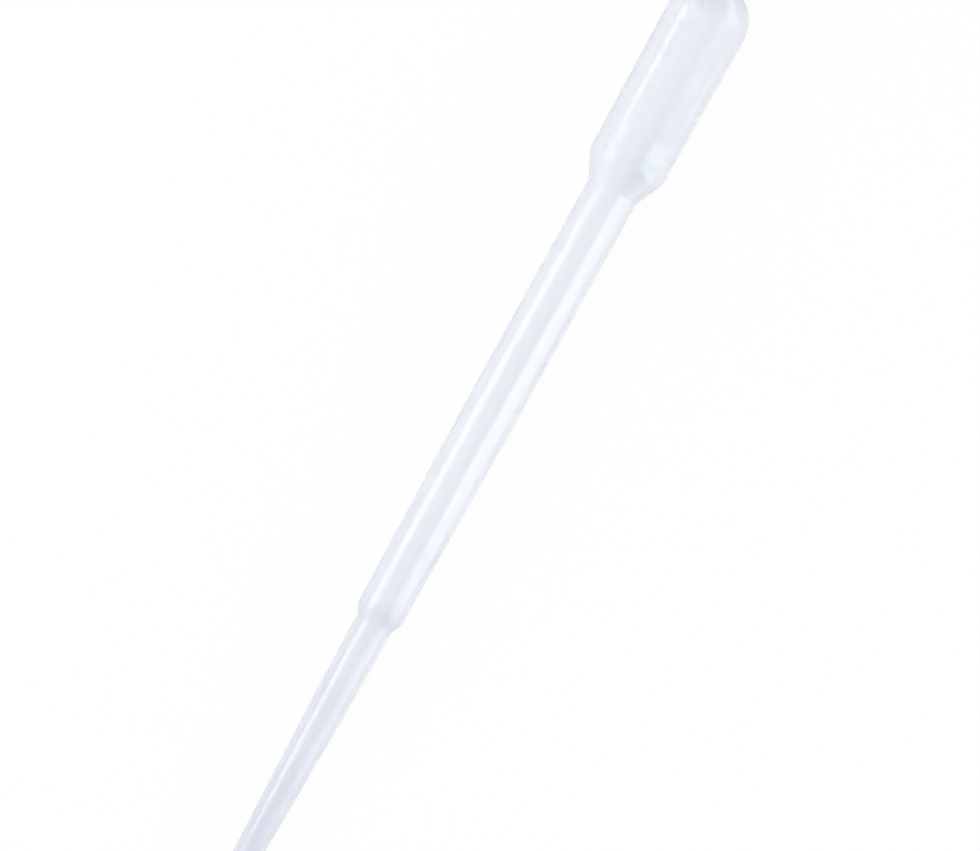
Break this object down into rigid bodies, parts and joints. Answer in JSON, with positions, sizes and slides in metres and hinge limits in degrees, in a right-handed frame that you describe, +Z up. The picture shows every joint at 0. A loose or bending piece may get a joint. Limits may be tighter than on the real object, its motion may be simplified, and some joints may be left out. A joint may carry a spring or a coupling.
{
  "type": "plastic dropper pipette",
  "caption": "One-piece translucent plastic dropper pipette: a domed squeeze bulb, a conical shoulder, a long stem and a stepped, tapering nozzle that is open at its tip.",
  "frame": {"origin": "on the surface that the pipette lies on, under the middle of its bounding box", "axes": "+X runs along the length towards the tip, +Z is up; the pipette's own axis lies in the XZ plane and dips 1.8 degrees towards the tip"},
  "size_m": [0.155, 0.0124, 0.013],
  "materials": {
    "polyethylene": "translucent milky polyethylene with a soft gloss"
  },
  "bodies": {
    "root": {"pipette": "polyethylene"}
  },
  "joints": []
}
